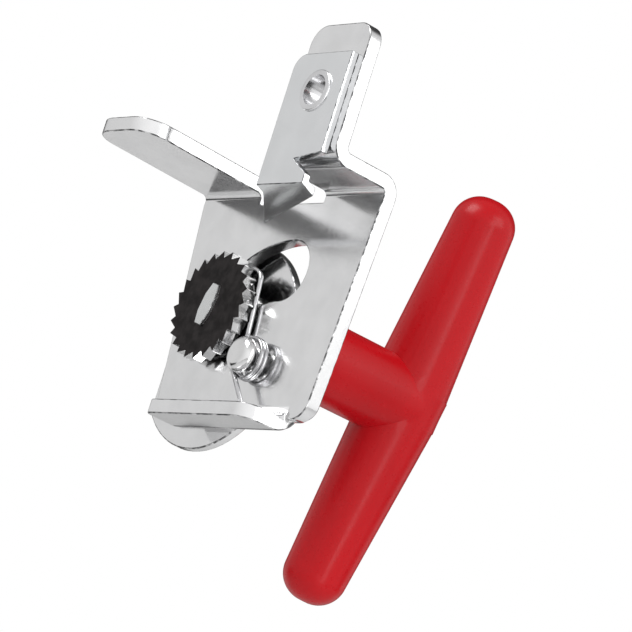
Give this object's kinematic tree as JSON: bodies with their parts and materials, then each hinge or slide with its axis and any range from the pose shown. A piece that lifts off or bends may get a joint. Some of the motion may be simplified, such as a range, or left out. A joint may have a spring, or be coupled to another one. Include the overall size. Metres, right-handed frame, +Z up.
{
  "type": "manual can opener",
  "caption": "Hand-held can opener: bent chromed plate with lever tab, blade and hanging hole, swinging toothed feed wheel with return spring, and a red T-handle.",
  "frame": {"origin": "centre of the hanging hole, at the arm's front face", "axes": "+Z up along the main plate towards the arm, +X to the right as the can side is faced, +Y back towards the T-handle and along the hanging hole"},
  "size_m": [0.0484, 0.074, 0.0821],
  "materials": {
    "plate_chrome": "bright nickel-chrome plate over pressed steel",
    "blade_chrome": "plated, ground bright at the cutting edge",
    "eyelet_steel": "plated rivet, rolled rims",
    "post_steel": "bright domed rivet head",
    "washer_steel": "plain zinc-plated washers",
    "spring_steel": "bright drawn spring wire",
    "swing_chrome": "bright plated pressed steel",
    "bush_steel": "turned steel, plated",
    "collar_black": "blackened steel",
    "wheel_black": "hardened dark face, bright tooth flanks",
    "shaft_steel": "turned steel, upset at the front end",
    "handle_red": "glossy moulded red plastic"
  },
  "bodies": {
    "frame": {"body_plate": "plate_chrome", "cutting_blade": "blade_chrome", "blade_eyelet": "eyelet_steel", "pivot_post": "post_steel", "pivot_spacer": "washer_steel", "pivot_rear_washer": "washer_steel", "torsion_spring": "spring_steel"},
    "carrier": {"swing_plate": "swing_chrome", "shaft_bush": "bush_steel", "guide_collar": "collar_black"},
    "drive": {"feed_wheel": "wheel_black", "drive_shaft": "shaft_steel", "thrust_washer": "washer_steel", "t_handle": "handle_red"}
  },
  "joints": [
    {"name": "wheel_swing", "type": "hinge", "parent": "frame", "child": "carrier", "pos_m": [-0.0112, 0.012, -0.0415], "axis": [0, 1, 0], "range_deg": [0, 57], "stiffness_Nm_per_rad": 0.04, "springref_deg": -20.05, "deforming": ["torsion_spring"]},
    {"name": "handle_turn", "type": "hinge", "parent": "carrier", "child": "drive", "pos_m": [-0.02462, 0.012, -0.03279], "axis": [0, 1, 0], "continuous": true}
  ]
}
